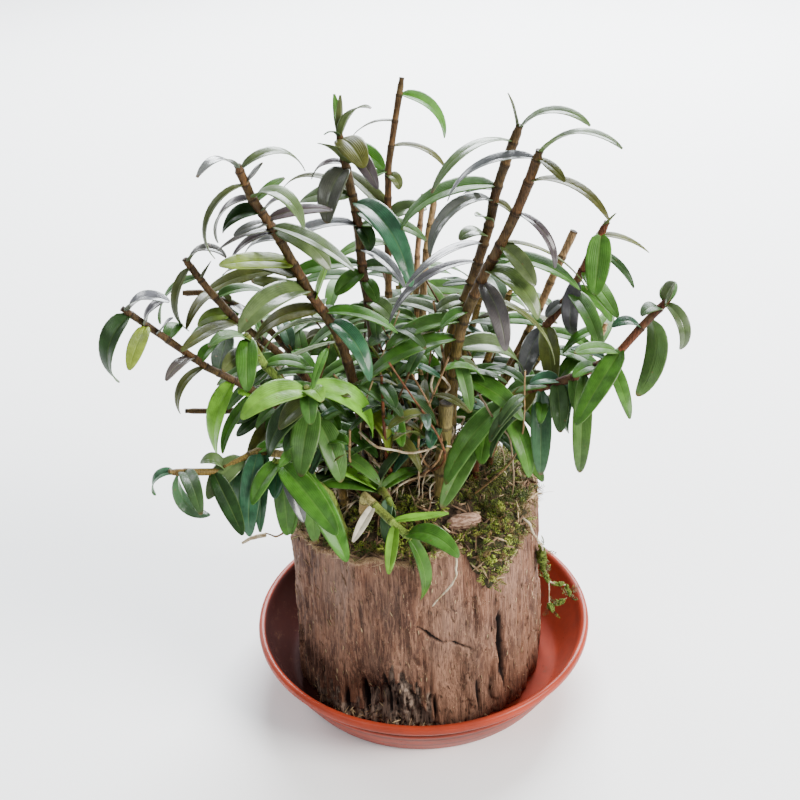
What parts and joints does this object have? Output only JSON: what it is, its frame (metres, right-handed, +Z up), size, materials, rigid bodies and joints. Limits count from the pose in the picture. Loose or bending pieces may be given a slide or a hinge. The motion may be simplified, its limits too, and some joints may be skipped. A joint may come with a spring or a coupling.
{
  "type": "potted dendrobium orchid",
  "caption": "Clump-forming dendrobium orchid with leafy canes, planted in a hollow log that stands in a round plastic saucer.",
  "frame": {"origin": "middle of the saucer's flat foot, where it stands on the floor", "axes": "+Z up, +X to the right and -Y towards the viewer of the pictured side"},
  "size_m": [0.262, 0.1861, 0.3177],
  "materials": {
    "saucer": "satin",
    "bark": "matte",
    "bed": "matte",
    "chip": "matte",
    "leaf_silver": "satin",
    "leaf_green": "satin",
    "leaf_young": "satin",
    "old_cane": "matte"
  },
  "bodies": {
    "root": {"saucer": "saucer", "hollow_log": "bark", "growing_bed": "bed", "bark_chip_1": "chip", "cane_tall_right_inner": "leaf_silver", "cane_tall_right_outer": "leaf_silver", "cane_centre": "leaf_silver", "cane_upper_left": "leaf_silver", "cane_left": "leaf_green", "cane_far_left": "leaf_green", "cane_left_back": "leaf_green", "cane_left_low": "leaf_green", "cane_low_left_pale": "leaf_green", "shoot_low_front_left": "leaf_green", "shoot_bright_front": "leaf_young", "shoot_left": "leaf_green", "cane_tall_back": "leaf_green", "cane_back_tan": "leaf_green", "cane_back_thin": "leaf_green", "cane_right": "leaf_green", "cane_far_right": "leaf_green", "cane_right_thin": "leaf_green", "shoot_over_rim": "leaf_young", "shoot_front_dark": "leaf_green", "cane_fan_1": "leaf_green", "cane_fan_2": "leaf_green", "cane_fan_3": "leaf_green", "cane_fan_4": "leaf_green", "cane_fan_5": "leaf_green", "cane_fan_6": "leaf_green", "cane_fan_7": "leaf_green", "cane_fan_8": "leaf_green", "dry_stick": "old_cane", "back_bulb_right": "old_cane", "back_bulb_middle": "old_cane", "back_bulb_left": "old_cane"}
  },
  "joints": []
}
